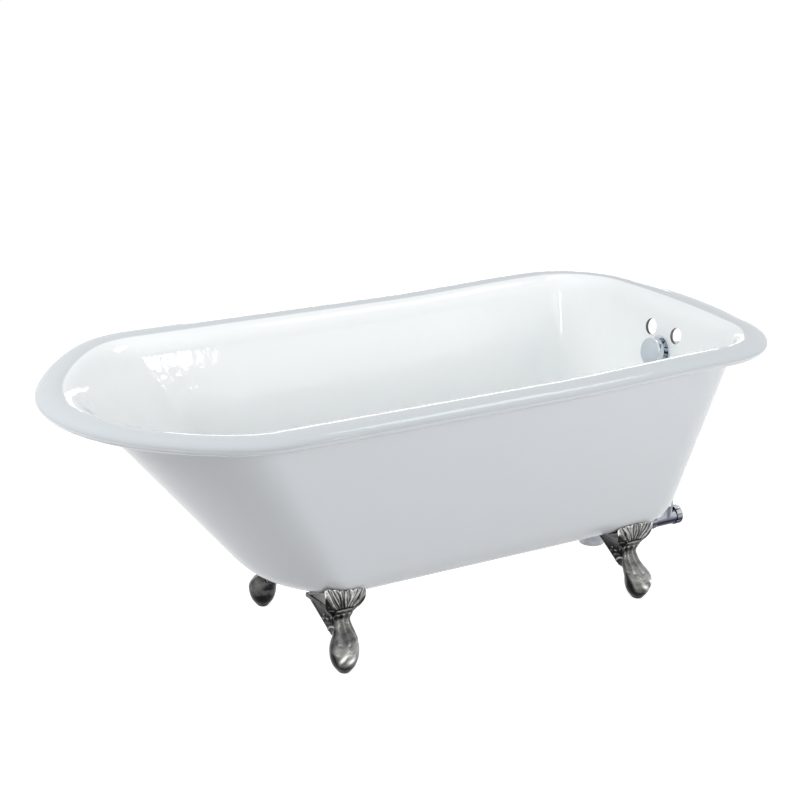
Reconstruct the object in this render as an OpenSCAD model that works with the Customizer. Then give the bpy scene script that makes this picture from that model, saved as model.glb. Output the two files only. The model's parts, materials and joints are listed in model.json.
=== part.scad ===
// Roll top cast iron bathtub on four claw feet, with faucet holes in the tap end wall
// and a turn control waste and overflow. Millimetres, +Z up, +X towards the tap end.
// The origin is on the floor below the middle of the rim's length and width.

/* [Rim] */
// Length over the rim
length = 1524; // [1300:1:1800]
// Width over the rim
width = 762; // [680:1:820]
// Height from the floor to the crest of the rim at the tap end
height = 598; // [540:1:660]
// Rise of the crest towards the tap end
rise_tap = 9.7; // [0:0.1:25]
// Fall of the crest towards the tip of the head end
fall_head = 9.4; // [0:0.1:25]
// Width of the roll
roll_w = 74; // [60:1:84]
// Height of the roll
roll_h = 32; // [24:1:40]
// Thickness of the roll's casting
roll_t = 7; // [5:0.5:8]
// Length of the rounded head end
head_run = 311; // [240:1:380]
// How far the head end's outline is drawn in from a true ellipse
head_pinch = 0.057; // [0:0.001:0.1]
// Corner radius of the rim at the tap end
tap_corner = 208; // [160:1:260]
// Bow of the rim across the tap end
tap_bow = 18; // [0:1:30]
// Width of the tap end as a share of the full width
tap_taper = 0.983; // [0.95:0.001:1]

/* [Body] */
// Thickness of the wall, measured level
wall = 7.5; // [6:0.1:9]
// Thickness of the floor
floor_t = 7; // [6:0.1:9]
// Underside of the body above the floor of the room
ground_gap = 136; // [110:1:160]
// Top of the outer wall in from the rim's edge, at the sides and head
side_inset = 88; // [80:1:100]
// Top of the outer wall in from the rim's edge, at the tap end
tap_inset = 83; // [76:1:96]
// Width of the bottom, where the wall lines meet the underside
bottom_w = 326; // [280:1:400]
// Bottom in from the rim's edge at the head end
bottom_head_in = 436; // [360:1:480]
// Bottom in from the rim's edge at the tap end
bottom_tap_in = 150; // [130:1:180]
// Length of the rounded head end of the bottom
bottom_head_run = 130; // [110:1:170]
// Corner radius of the bottom at the tap end
bottom_corner = 85; // [70:1:110]
// Reach of the bottom fillet across the underside
fillet_run = 68; // [50:1:70]
// Height of the bottom fillet
fillet_rise = 70; // [50:1:100]
// Fall of the basin's floor for each millimetre towards the drain
floor_fall = 0.01; // [0:0.001:0.015]

/* [Faucet holes] */
// Diameter of the two holes
faucet_hole_d = 36; // [25:0.5:38]
// Distance between the two holes
faucet_spacing = 85.7; // [75:0.1:100]
// Depth of the holes below the crest of the tap end
faucet_drop = 68; // [64:1:76]

/* [Feet] */
// Middle of the head feet in from the head end
foot_head_in = 527; // [500:1:560]
// Middle of the tap feet in from the tap end
foot_tap_in = 267; // [258:1:300]
// Clearance between the body's underside and the foot's flat top
foot_top_gap = 6; // [5:0.5:8]
// Height of the leaf above the foot's flat top
leaf_rise = 36; // [34:1:46]
// Clearance between the leaf's top and the body
leaf_gap = 1.5; // [1:0.1:6]
// Half width of the leaf at its top
leaf_half = 47; // [42:0.5:50]
// Thickness of the leaf at its top
leaf_t = 6; // [5:0.5:8]
// Radius of the claw's ball
ball_r = 29.5; // [26:0.5:32]
// Height of the ball's middle
ball_z = 48; // [44:1:50]
// Half width of the ankle
ankle_half = 17.5; // [15:0.5:20]
// Height of the ankle's narrowest part
ankle_z = 101; // [98:1:104]
// How far the claw's middle stands out from the back of the leaf
claw_out = 10; // [6:0.5:12]
// How far the claw leans towards the bath's end
claw_lean = 8; // [0:0.5:10]
// Depth of the leaf's flutes
flute_depth = 2.4; // [1:0.1:3]
// Depth of the grooves between the toes
toe_depth = 2.6; // [1:0.1:3]
// Thickness of the foot's flat top
foot_flange_t = 9; // [8:0.5:12]
// Half width of the foot's flat top
foot_flange_half = 34; // [30:0.5:36]
// How far the foot's flat top runs back past the stud
foot_tail = 41; // [30:0.5:45]
// Thickness of the foot's side webs
foot_web = 8; // [6:0.5:9]

/* [Foot fastening] */
// Diameter of the studs
stud_d = 10; // [8:0.5:11]
// Diameter of the lugs under the body
lug_d = 36; // [30:1:38]
// Diameter of the washers
foot_washer_d = 21; // [19:0.5:22]
// Thickness of the washers
foot_washer_t = 2; // [1.5:0.1:2.5]
// Height of the nuts
foot_nut_h = 8; // [6:0.5:9]

/* [Waste pipes] */
// Outside diameter of the pipes
pipe_d = 32; // [28:0.5:34]
// Wall thickness of the pipes
pipe_wall = 1.5; // [1:0.1:2]
// Wall thickness of the fittings
fitting_wall = 3.9; // [3:0.1:4.5]
// Height of the waste pipe's axis above the floor of the room
waste_z = 82; // [72:0.5:86]
// Drain in from the tap end of the rim
drain_in = 262; // [260:1:330]
// Riser behind the outer face of the tap end wall, at the overflow
riser_off = 36; // [33:0.5:42]
// Thickness of the slip nuts around a fitting
nut_over = 2; // [1.5:0.1:3]
// Length of a slip nut
slip_nut_l = 15; // [13:0.5:18]
// Depth of a pipe socket
socket_l = 24; // [20:0.5:28]
// Thickness of a slip joint's washer
slip_washer_t = 3; // [2:0.1:4]

/* [Drain and plug] */
// Diameter of the hole in the basin's floor
drain_hole_d = 54; // [51:0.5:58]
// Diameter of the drain flange
drain_flange_d = 70; // [66:0.5:76]
// Outside diameter of the drain's threaded tail
drain_tail_d = 48; // [45:0.5:49]
// Diameter of the plug's cap
plug_d = 58; // [54:0.5:62]
// Lift of the plug
plug_lift = 10; // [6:0.5:12]
// Diameter of the plug's stem
stem_d = 7; // [5:0.5:8]

/* [Overflow] */
// Depth of the overflow's centre below the crest of the tap end
overflow_drop = 114; // [112:1:130]
// Diameter of the overflow hole
overflow_hole_d = 47; // [46:0.5:50]
// Diameter of the overflow flange
overflow_flange_d = 72; // [66:1:78]
// Diameter of the control knob
knob_d = 63; // [56:1:66]
// Front of the control knob off the wall
knob_reach = 30; // [25:0.5:34]
// Diameter of the knob's spindle
spindle_d = 8; // [6:0.5:9]

/* [Detail] */
// Steps along each quarter of the head end
head_steps = 15; // [8:1:20]
// Steps round each tap end corner
corner_steps = 7; // [5:1:10]

/* [Hidden] */

$fn = 64;
fit = 0.05;      // radial clearance of a running or threaded fit
seat = 0.3;      // gap where a loose piece rests on its neighbour
eps = 1;         // how far a cutting tool runs past a face

white = "#e9ecee";
nickel = "#b9b7b2";
chrome = "#c9ccd0";
brass = "#b89a55";
rubber = "#2b2b2d";

// Heights of the rim and body
crest = height - rise_tap;
roll_mid = crest - roll_h / 2;
wall_top = crest - roll_h;
under = ground_gap;
basin = under + floor_t;

// Points along each stretch of a ring's half
end_steps = 3;
side_steps = 4;
ring_n = 2 * (end_steps + corner_steps + side_steps + head_steps);

function lerp(a, b, t) = a * (1 - t) + b * t;
function bend(a, c, b, t) = a * (1 - t) ^ 2 + c * (2 * t * (1 - t)) + b * t ^ 2;
function ease(t) = let (u = max(0, min(1, t))) u * u * (3 - 2 * u);

// One ring in plan, from the middle of the tap end round to the tip of the head end and back.
// xh and xt are the ends, w the half width, run the head's length, rc the tap corners' radius
function outline(xh, xt, w, run, rc, bow = 0, taper = 1) =
    let (
        wt = w * taper,
        xc = xt - bow - rc,
        xs = xh + run,
        half = concat(
            [for (k = [0:end_steps - 1]) let (s = k / end_steps) [xt - bow * s * s, (wt - rc) * s]],
            [for (k = [0:corner_steps]) let (a = 90 * k / corner_steps)
                [xc + rc * cos(a), wt - rc + rc * sin(a)]],
            [for (k = [1:side_steps - 1]) let (s = k / side_steps) [lerp(xc, xs, s), lerp(wt, w, s)]],
            [for (k = [0:head_steps]) let (a = 90 * k / head_steps, f = 1 - head_pinch * sin(2 * a) ^ 2)
                [xs - run * sin(a) * f, w * cos(a) * f]]
        ),
        n = len(half)
    )
    concat(half, [for (k = [n - 2:-1:1]) [half[k].x, -half[k].y]]);

function rim_outline(inset) = outline(
    -length / 2 + inset, length / 2 - inset, width / 2 - inset,
    head_run - inset, tap_corner - inset, tap_bow, tap_taper
);

// Rise of the crest along the tub: up towards the tap end, down round the head end
rise_from = 147;
rise_to = 543;
fall_from = 521;
function crest_rise(x) =
    rise_tap * ease((x - rise_from) / (rise_to - rise_from))
    - fall_head * ease((-x - fall_from) / (length / 2 - fall_from));
rise = [for (p = rim_outline(0)) crest_rise(p.x)];

function ring(plan, z, lift = 1) = [for (i = [0:ring_n - 1]) [plan[i].x, plan[i].y, z + lift * rise[i]]];

// Outer wall: straight lines from the top outline to the bottom outline
side_slope = (width / 2 - side_inset - bottom_w / 2) / (wall_top - under);
head_slope = (bottom_head_in - side_inset) / (wall_top - under);
tap_slope = (bottom_tap_in - tap_inset) / (wall_top + rise_tap - under);
top_corner = tap_corner - side_inset;
foot_half = bottom_w / 2 - fillet_run;
out_top = ring(outline(
    -length / 2 + side_inset, length / 2 - tap_inset, width / 2 - side_inset,
    head_run - side_inset, top_corner), wall_top);
out_bottom = ring(outline(
    -length / 2 + bottom_head_in, length / 2 - bottom_tap_in, bottom_w / 2,
    bottom_head_run, bottom_corner), under, 0);
out_floor = ring(outline(
    -length / 2 + bottom_head_in + fillet_run, length / 2 - bottom_tap_in - fillet_run, foot_half,
    bottom_head_run - fillet_run / 2, bottom_corner - fillet_run * 0.4), under, 0);
function wall_line(top, bottom, drop) = lerp(top, bottom, drop / (wall_top - under));

// Inner wall: the outer one moved in by the wall's thickness, level with the basin's floor
in_top = ring(outline(
    -length / 2 + side_inset + wall, length / 2 - tap_inset - wall, width / 2 - side_inset - wall,
    head_run - side_inset - wall, top_corner - wall), wall_top);
in_bottom = ring(outline(
    -length / 2 + bottom_head_in + wall - floor_t * head_slope,
    length / 2 - bottom_tap_in - wall + floor_t * tap_slope,
    bottom_w / 2 - wall + floor_t * side_slope,
    bottom_head_run - wall / 2, bottom_corner - wall / 2), basin, 0);
drain_x = length / 2 - drain_in;
function floor_z(p) = basin + floor_fall * norm([p.x - drain_x, p.y]);
in_floor_plan = outline(
    -length / 2 + bottom_head_in + fillet_run + 2,
    length / 2 - bottom_tap_in - fillet_run - 2, foot_half - 2,
    bottom_head_run - fillet_run / 2 - 2, bottom_corner - fillet_run * 0.4 - 2);
in_floor = [for (p = in_floor_plan) [p.x, p.y, floor_z(p)]];
function in_line(drop) = lerp(in_top, in_bottom, drop / (wall_top - basin));

// Rings of the whole casting, from the underside up the outside, over the roll and down inside
lip_angle = 50;
fillet_steps = 6;
roll_steps = 5;
blend_steps = 6;
out_fillet_top = wall_line(out_top, out_bottom, wall_top - under - fillet_rise);
out_start = wall_line(out_top, out_bottom, 8);
out_corner = wall_line(out_top, out_bottom, -(crest - roll_t - wall_top));
roll_under = ring(rim_outline(roll_w / 2), crest - roll_t);
roll_crest = ring(rim_outline(roll_w / 2), crest);
in_corner = in_line(-(crest - wall_top));
in_start = in_line(8);
in_fillet_top = in_line(wall_top - basin - fillet_rise);

function roll_ring(a, half_w, half_h) =
    ring(rim_outline(roll_w / 2 - half_w * cos(a)), roll_mid + half_h * sin(a));

tub_rings = concat(
    [for (k = [fillet_steps:-1:0]) bend(out_fillet_top, out_bottom, out_floor, k / fillet_steps)],
    [lerp(out_fillet_top, out_start, 1 / 2)],
    [for (k = [0:4]) bend(out_start, out_corner, roll_under, k / 4)],
    [for (k = [1:4]) roll_ring(lerp(90, -lip_angle, k / 4), roll_w / 2 - roll_t, roll_h / 2 - roll_t)],
    [for (k = [0:1]) roll_ring(-lip_angle * (1 - k / 2), roll_w / 2, roll_h / 2)],
    [for (k = [0:roll_steps]) roll_ring(90 * k / roll_steps, roll_w / 2, roll_h / 2)],
    [for (k = [1:blend_steps]) bend(roll_crest, in_corner, in_start, k / blend_steps)],
    [lerp(in_start, in_fillet_top, 1 / 2)],
    [for (k = [0:fillet_steps]) bend(in_fillet_top, in_bottom, in_floor, k / fillet_steps)]
);

// Closed skin over rings of n points, with a fan to one point at each end
module loft(rings, n, first_tip, last_tip) {
    m = len(rings);
    sides = [for (j = [0:m - 2], i = [0:n - 1]) let (
            a = j * n + i, b = j * n + (i + 1) % n, c = a + n, d = b + n
        ) each [[a, c, b], [b, c, d]]];
    first_fan = [for (i = [0:n - 1]) [i, (i + 1) % n, m * n]];
    last_fan = [for (i = [0:n - 1]) [(m - 1) * n + i, m * n + 1, (m - 1) * n + (i + 1) % n]];
    polyhedron([each [for (r = rings) each r], first_tip, last_tip], concat(first_fan, sides, last_fan));
}

// Tap end wall: outer and inner face at a height, and its lean from upright
function tap_out(z) = length / 2 - bottom_tap_in + (z - under) * tap_slope;
function tap_in(z) = tap_out(z) - wall;
lean = atan(tap_slope);
wall_through = wall * cos(lean);
overflow_z = height - overflow_drop;
faucet_z = height - faucet_drop;

// Frame on the inner face of the tap end wall: Z runs into the basin, square to the wall
module on_tap_wall(z, y = 0) {
    translate([tap_in(z), y, z]) rotate([0, lean - 90, 0]) children();
}

// Half width of the body's straight part at a height
function side_y(z) =
    z > under + fillet_rise
    ? bottom_w / 2 + (z - under) * side_slope
    : let (t = 1 - sqrt((z - under) / fillet_rise))
        bend(bottom_w / 2 + fillet_rise * side_slope, bottom_w / 2, foot_half, t);

// Feet: where they stand and the lug each one bolts to
foot_top = under - foot_top_gap;
leaf_top = foot_top + leaf_rise;
leaf_back = side_y(leaf_top) + leaf_gap;
lug_y = foot_half + 10;
lug_rise = floor_t * 0.7;
feet_x = [-length / 2 + foot_head_in, length / 2 - foot_tap_in];
lug_x = [feet_x[0] + claw_lean, feet_x[1] - claw_lean];

module at_each_lug() {
    for (x = lug_x, s = [-1, 1]) translate([x, s * lug_y, 0]) children();
}

drain_seat_r = drain_flange_d / 2 + 3;
drain_seat_depth = 0.4;

module tub_shell() {
    color(white) difference() {
        union() {
            loft(tub_rings, ring_n, [drain_x, 0, under], [drain_x, 0, basin]);
            at_each_lug() translate([0, 0, foot_top]) cylinder(d = lug_d, h = foot_top_gap + lug_rise);
        }
        at_each_lug() translate([0, 0, foot_top - eps]) cylinder(d = stud_d + 2 * fit, h = stud_bore + eps);
        for (s = [-1, 1]) on_tap_wall(faucet_z, s * faucet_spacing / 2)
            translate([0, 0, -wall - 4]) cylinder(d = faucet_hole_d, h = wall + 8);
        on_tap_wall(overflow_z) translate([0, 0, -wall - 4]) cylinder(d = overflow_hole_d, h = wall + 8);
        translate([drain_x, 0, under - 4]) cylinder(d = drain_hole_d, h = floor_t + 8);
        translate([drain_x, 0, basin - drain_seat_depth]) cylinder(r = drain_seat_r, h = 6);
    }
}

// Foot in its own frame: x across, y outwards from the leaf's back, z up.
// Each section: height, front, back, half width, depth of relief, blend from round to leaf
foot_sections = [
    [0, 0.47 * ball_r, -0.42 * ball_r, 0.40 * ball_r, 0, 0],
    [0.12 * ball_z, 0.63 * ball_r, -0.57 * ball_r, 0.56 * ball_r, toe_depth * 0.6, 0],
    [0.34 * ball_z, 0.85 * ball_r, -0.80 * ball_r, 0.80 * ball_r, toe_depth, 0],
    [0.65 * ball_z, 0.98 * ball_r, -0.95 * ball_r, 0.96 * ball_r, toe_depth, 0],
    [ball_z, 1.01 * ball_r, -ball_r, ball_r, toe_depth * 0.8, 0],
    [1.25 * ball_z, 0.88 * ball_r, -0.97 * ball_r, 0.93 * ball_r, toe_depth * 0.7, 0],
    [1.50 * ball_z, 0.58 * ball_r, -0.86 * ball_r, 0.77 * ball_r, toe_depth * 0.6, 0],
    [lerp(1.5 * ball_z, ankle_z, 0.5), 0.05 * ball_r, -22.5, ankle_half + 1.5, toe_depth * 0.5, 0],
    [ankle_z, -7, -22, ankle_half, flute_depth * 0.4, 0.1],
    [lerp(ankle_z, leaf_top, 0.22), -3.5, -17, lerp(ankle_half, leaf_half, 0.34), flute_depth * 0.8, 0.5],
    [lerp(ankle_z, leaf_top, 0.40), 1, -10, lerp(ankle_half, leaf_half, 0.64), flute_depth, 0.9],
    [lerp(ankle_z, leaf_top, 0.60), leaf_t - 1.5, -4, lerp(ankle_half, leaf_half, 0.86), flute_depth, 1],
    [lerp(ankle_z, leaf_top, 0.80), leaf_t + 1, 0, lerp(ankle_half, leaf_half, 0.95), flute_depth, 1],
    [leaf_top, leaf_t, 0.5, leaf_half, flute_depth * 0.7, 1]
];
section_steps = 2;
toe_cols = 4;
foot_quarter = 9;
leaf_notch = 3;
foot_n = 4 * foot_quarter;
leaf_curl = 3;
leaf_shoulder = 5;

// The claw is set out and to one side of the ankle, by a share that fades upwards
claw_fade = [0.9 * ball_z, 1.7 * ball_z];
function claw_share(z) = 1 - ease((z - claw_fade[0]) / (claw_fade[1] - claw_fade[0]));

// Smooth curve through a list of rows, at row u
function spline(rows, u) =
    let (
        k = min(floor(u), len(rows) - 2), f = u - k,
        a = rows[max(k - 1, 0)], b = rows[k], c = rows[k + 1], d = rows[min(k + 2, len(rows) - 1)]
    ) (2 * b + (c - a) * f + (2 * a - 5 * b + 4 * c - d) * f ^ 2 + (3 * b - 3 * c + d - a) * f ^ 3) / 2;

// Point i of a section; point 0 is the middle of the front and the sides are at a quarter
function foot_point(r, i) =
    let (
        k = i <= foot_n / 2 ? i : foot_n - i,
        side = i <= foot_n / 2 ? 1 : -1,
        front = k <= foot_quarter,
        q = (front ? k : foot_n / 2 - k) / foot_quarter,
        fan = max(0, min(1, r[5])),
        mid = (r[1] + r[2]) / 2,
        groove = (1 - cos(360 * k / toe_cols)) / 2,
        relief = front ? max(0, r[4]) * groove : 0,
        across = lerp(sin(90 * q), q, fan),
        deep = lerp(cos(90 * q), q == 1 ? 0 : 1 - 0.3 * q ^ 2, fan),
        top = ease((r[0] - ankle_z) / (leaf_top - ankle_z)),
        notch = q == 1 ? 0 : (1 - cos(360 * q * foot_quarter / toe_cols)) / 2
    ) [
        side * (r[3] * across - relief * sin(90 * q) * (1 - fan)) + claw_lean * claw_share(r[0]),
        mid + ((front ? r[1] : r[2]) - mid) * deep
            - relief * lerp(cos(90 * q), 1, fan) - leaf_curl * fan * q ^ 2 + claw_out * claw_share(r[0]),
        r[0] - top * (leaf_shoulder * q ^ 2 + leaf_notch * notch)
    ];

foot_rings = [
    for (k = [0:section_steps * (len(foot_sections) - 1)])
        let (r = spline(foot_sections, k / section_steps)) [for (i = [0:foot_n - 1]) foot_point(r, i)]
];

// Claw, ankle and leaf in one skin; the leaf's top is closed by strips from front to back
module claw_and_leaf() {
    n = foot_n;
    m = len(foot_rings);
    sides = [for (j = [0:m - 2], i = [0:n - 1]) let (
            a = j * n + i, b = j * n + (i + 1) % n, c = a + n, d = b + n
        ) each [[a, b, c], [b, d, c]]];
    function top(i) = (m - 1) * n + (i + n) % n;
    strips = [for (i = [-foot_quarter:foot_quarter - 1]) let (
            a = top(i), b = top(i + 1), c = top(n / 2 - i), d = top(n / 2 - i - 1)
        ) each (
            i == -foot_quarter ? [[a, b, d]]
            : i == foot_quarter - 1 ? [[a, b, c]]
            : [[a, b, c], [b, d, c]]
        )];
    polyhedron([for (r = foot_rings) each r], concat([[for (i = [n - 1:-1:0]) i]], sides, strips));
}

// Side webs run back from the ankle to the flat top's end, thick where they leave the ankle
foot_reach = leaf_back - lug_y + foot_tail;
flat_front = foot_flange_half - 6;
web_front = -12;
web_root = ankle_half / 4;
web_low = 1.35 * ball_z;
web_back = -0.9 * ball_r;
web_inset = 1;

// One thin block of a web: its x and y from and to, and its height
module web_block(side, x, y, z) {
    translate([side > 0 ? x[0] : -x[1], y[0], z]) cube([x[1] - x[0], y[1] - y[0], 1]);
}

module foot_web(side) {
    outside = foot_flange_half - web_inset;
    far = web_inset - foot_reach;
    top = foot_top - foot_flange_t + web_inset;
    hull() {
        web_block(side, [outside - foot_web, outside], [far, far + foot_web], top);
        web_block(side, [web_root, flat_front - web_inset], [1.5 * web_front, web_front], top);
        web_block(side, [web_root, ankle_half], [web_back, web_front], web_low);
    }
}

// The flat top narrows towards the leaf
module foot_flat_top() {
    front = web_front + 4;
    translate([0, 0, foot_top - foot_flange_t]) linear_extrude(foot_flange_t)
        polygon([
            [-foot_flange_half, -foot_reach], [foot_flange_half, -foot_reach],
            [flat_front, front], [-flat_front, front]
        ]);
}

module foot() {
    color(nickel) difference() {
        union() {
            claw_and_leaf();
            foot_web(1);
            foot_web(-1);
            foot_flat_top();
        }
        translate([0, lug_y - leaf_back, foot_top - foot_flange_t - eps])
            cylinder(d = stud_d + 1.2, h = foot_flange_t + 2 * eps);
    }
}

// The claws lean towards the ends of the bath, so the head feet are mirror images of the tap feet
module foot_left(end) {
    translate([lug_x[end], leaf_back, 0]) {
        if (end == 0) mirror([1, 0, 0]) foot();
        else foot();
    }
}

module foot_right(end) {
    mirror([0, 1, 0]) foot_left(end);
}

module foot_head_left() { foot_left(0); }
module foot_head_right() { foot_right(0); }
module foot_tap_left() { foot_left(1); }
module foot_tap_right() { foot_right(1); }

// Studs screwed into blind holes in the lugs, with a washer and a nut below each foot's flat top
stud_bore = foot_top_gap + 3.2;
flange_under = foot_top - foot_flange_t;
stud_low = flange_under - foot_washer_t - foot_nut_h - 4;

module leg_studs() {
    color(brass) at_each_lug() translate([0, 0, stud_low])
        cylinder(d = stud_d, h = foot_top + stud_bore - seat - stud_low);
}

module leg_washers() {
    color(nickel) at_each_lug() translate([0, 0, flange_under - foot_washer_t]) difference() {
        cylinder(d = foot_washer_d, h = foot_washer_t);
        translate([0, 0, -eps]) cylinder(d = stud_d + 0.6, h = foot_washer_t + 2 * eps);
    }
}

module leg_nuts() {
    across_corners = stud_d * 1.7 / cos(30);
    color(nickel) at_each_lug() translate([0, 0, flange_under - foot_washer_t - foot_nut_h]) difference() {
        cylinder(d = across_corners, h = foot_nut_h, $fn = 6);
        translate([0, 0, -eps]) cylinder(d = stud_d + 2 * fit, h = foot_nut_h + 2 * eps);
    }
}

// Slip joint: the socket's mouth is at z = 0 and its pipe comes in from above
pipe_r = pipe_d / 2;
bore_r = pipe_r - pipe_wall;
socket_r = pipe_r + fit + fitting_wall;
nut_r = socket_r + nut_over;
nut_lip = 3;
grips = 10;

module slip_nut() {
    low = slip_washer_t + nut_lip - slip_nut_l;
    color(chrome) difference() {
        translate([0, 0, low]) cylinder(r = nut_r, h = slip_nut_l);
        translate([0, 0, low - eps]) cylinder(r = socket_r + fit, h = slip_washer_t - low + eps);
        cylinder(r = pipe_r + seat, h = slip_nut_l);
        for (k = [0:grips - 1]) rotate([0, 0, k * 360 / grips])
            translate([nut_r + 1.6, 0, low - eps]) cylinder(r = 2.4, h = slip_nut_l - 3 + eps, $fn = 24);
    }
}

module slip_washer() {
    color(rubber) difference() {
        cylinder(r = socket_r - 0.6, h = slip_washer_t);
        translate([0, 0, -eps]) cylinder(r = pipe_r + fit, h = slip_washer_t + 2 * eps);
    }
}

module tube(r_out, r_in, h) {
    difference() {
        cylinder(r = r_out, h = h);
        translate([0, 0, -eps]) cylinder(r = r_in, h = h + 2 * eps);
    }
}

// Waste line: the shoe under the drain, the pipe to the tee, the riser to the overflow
gasket_t = 3;
shoe_top = under - gasket_t;
shoe_reach = 62;
shoe_mouth = drain_x + shoe_reach;
shoe_r = drain_tail_d / 2 + fit + fitting_wall;
riser_x = tap_out(overflow_z) + riser_off;
tee_inlet_arm = 42;
tee_outlet_arm = 35;
tee_neck = 42;
tee_in = riser_x - tee_inlet_arm;
tee_out = riser_x + tee_outlet_arm;
tee_top = waste_z + tee_neck;
tail_low = under - 24;

module along_x(x) {
    translate([x, 0, waste_z]) rotate([0, 90, 0]) children();
}

module against_x(x) {
    translate([x, 0, waste_z]) rotate([0, -90, 0]) children();
}

module drain_shoe() {
    base = waste_z - socket_r;
    color(chrome) difference() {
        union() {
            translate([drain_x, 0, base]) cylinder(r = shoe_r, h = shoe_top - base);
            translate([drain_x, 0, shoe_top - 5]) cylinder(r = shoe_r + 6, h = 5);
            along_x(drain_x) cylinder(r = socket_r, h = shoe_reach);
        }
        translate([drain_x, 0, tail_low - 2]) cylinder(d = drain_tail_d + 2 * fit, h = shoe_top);
        translate([drain_x, 0, base + fitting_wall]) cylinder(d = drain_tail_d - 8, h = shoe_top);
        along_x(drain_x) cylinder(r = bore_r, h = shoe_reach + eps);
        along_x(shoe_mouth - socket_l) cylinder(r = pipe_r + fit, h = socket_l + eps);
    }
}

module shoe_gasket() {
    color(rubber) translate([drain_x, 0, shoe_top]) tube(shoe_r + 6, drain_tail_d / 2 + 1.5, gasket_t);
}

module shoe_nut() { along_x(shoe_mouth) slip_nut(); }
module shoe_washer() { along_x(shoe_mouth) slip_washer(); }
module tee_inlet_nut() { against_x(tee_in) slip_nut(); }
module tee_inlet_washer() { against_x(tee_in) slip_washer(); }
module outlet_nut() { along_x(tee_out) slip_nut(); }
module outlet_washer() { along_x(tee_out) slip_washer(); }

module waste_tube() {
    start = shoe_mouth - socket_l + seat;
    color(chrome) along_x(start) tube(pipe_r, bore_r, tee_in + socket_l - seat - start);
}

module waste_tee() {
    color(chrome) difference() {
        union() {
            along_x(tee_in) cylinder(r = socket_r, h = tee_out - tee_in);
            translate([riser_x, 0, waste_z]) cylinder(r = socket_r, h = tee_top - waste_z);
        }
        along_x(tee_in - eps) cylinder(r = bore_r, h = tee_out - tee_in + 2 * eps);
        along_x(tee_in - eps) cylinder(r = pipe_r + fit, h = socket_l + eps);
        along_x(tee_out - socket_l) cylinder(r = pipe_r + fit, h = socket_l + eps);
        translate([riser_x, 0, waste_z]) cylinder(r = bore_r, h = tee_top);
        translate([riser_x, 0, tee_top - socket_l]) cylinder(r = pipe_r + fit, h = socket_l + eps);
    }
}

// Overflow elbow: its body lies square to the wall and its socket hangs down over the riser
elbow_bore = overflow_hole_d / 2 - 1.5;
elbow_r = elbow_bore + 3.2;
elbow_gasket_t = 3;
elbow_face = -wall_through - elbow_gasket_t;
elbow_back = -(riser_x - tap_in(overflow_z)) / cos(lean) - socket_r - 2;
elbow_axis_z = overflow_z - (riser_x - tap_in(overflow_z)) * tap_slope;
elbow_drop = 50;
elbow_mouth = elbow_axis_z - elbow_drop;
riser_low = tee_top - socket_l + seat;
riser_high = elbow_mouth + socket_l - seat;

module overflow_riser() {
    color(chrome) translate([riser_x, 0, riser_low]) tube(pipe_r, bore_r, riser_high - riser_low);
}

module riser_bottom_nut() { translate([riser_x, 0, tee_top]) slip_nut(); }
module riser_bottom_washer() { translate([riser_x, 0, tee_top]) slip_washer(); }
module riser_top_nut() { translate([riser_x, 0, elbow_mouth]) mirror([0, 0, 1]) slip_nut(); }
module riser_top_washer() { translate([riser_x, 0, elbow_mouth]) mirror([0, 0, 1]) slip_washer(); }

module overflow_elbow() {
    color(chrome) difference() {
        union() {
            on_tap_wall(overflow_z) translate([0, 0, elbow_back])
                cylinder(r = elbow_r, h = elbow_face - elbow_back);
            on_tap_wall(overflow_z) translate([0, 0, elbow_face - 4])
                cylinder(d = overflow_flange_d - 2, h = 4);
            translate([riser_x, 0, elbow_mouth]) cylinder(r = socket_r, h = elbow_axis_z - elbow_mouth);
        }
        on_tap_wall(overflow_z) translate([0, 0, elbow_back + 3])
            cylinder(r = elbow_bore + fit, h = elbow_face - elbow_back);
        translate([riser_x, 0, elbow_mouth - eps]) cylinder(r = bore_r, h = elbow_axis_z - elbow_mouth + eps);
        translate([riser_x, 0, elbow_mouth - eps]) cylinder(r = pipe_r + fit, h = socket_l + eps);
    }
}

module overflow_gasket() {
    color(rubber) on_tap_wall(overflow_z) translate([0, 0, elbow_face])
        tube(overflow_flange_d / 2 - 1, elbow_bore + 1, elbow_gasket_t);
}

// Overflow flange: a plate on the wall, a tail screwed into the elbow and a hub on three arms
flange_t = 2.5;
tail_wall = 3;
hub_r = spindle_d / 2 + 4;
hub_front = 11;

module overflow_flange() {
    tail_end = elbow_face - 12;
    color(chrome) on_tap_wall(overflow_z) difference() {
        union() {
            rotate_extrude() polygon([
                [elbow_bore - tail_wall, tail_end], [elbow_bore, tail_end], [elbow_bore, 0],
                [overflow_flange_d / 2, 0], [overflow_flange_d / 2, flange_t * 0.5],
                [overflow_flange_d / 2 - 2, flange_t], [elbow_bore - tail_wall, flange_t]
            ]);
            translate([0, 0, -6]) cylinder(r = hub_r, h = hub_front + 6);
            for (a = [30, 150, 270]) rotate([0, 0, a]) translate([0, -2.5, -6])
                cube([elbow_bore - tail_wall + 1, 5, 8]);
        }
        translate([0, 0, -6 - eps]) cylinder(d = spindle_d + 2 * fit, h = hub_front + 6 + 2 * eps);
    }
}

// Knob, spindle, grub screw and crank turn together about the wall's normal
knob_gap = 1;
knob_low = hub_front + knob_gap;
knob_boss_r = spindle_d / 2 + 5;
knob_face = 4;
spindle_back = elbow_face - 34;
spindle_front = knob_reach - knob_face - seat;
screw_d = 5;
screw_level = knob_low + 5.5;
crank_t = 4;
crank_l = 11;

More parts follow.
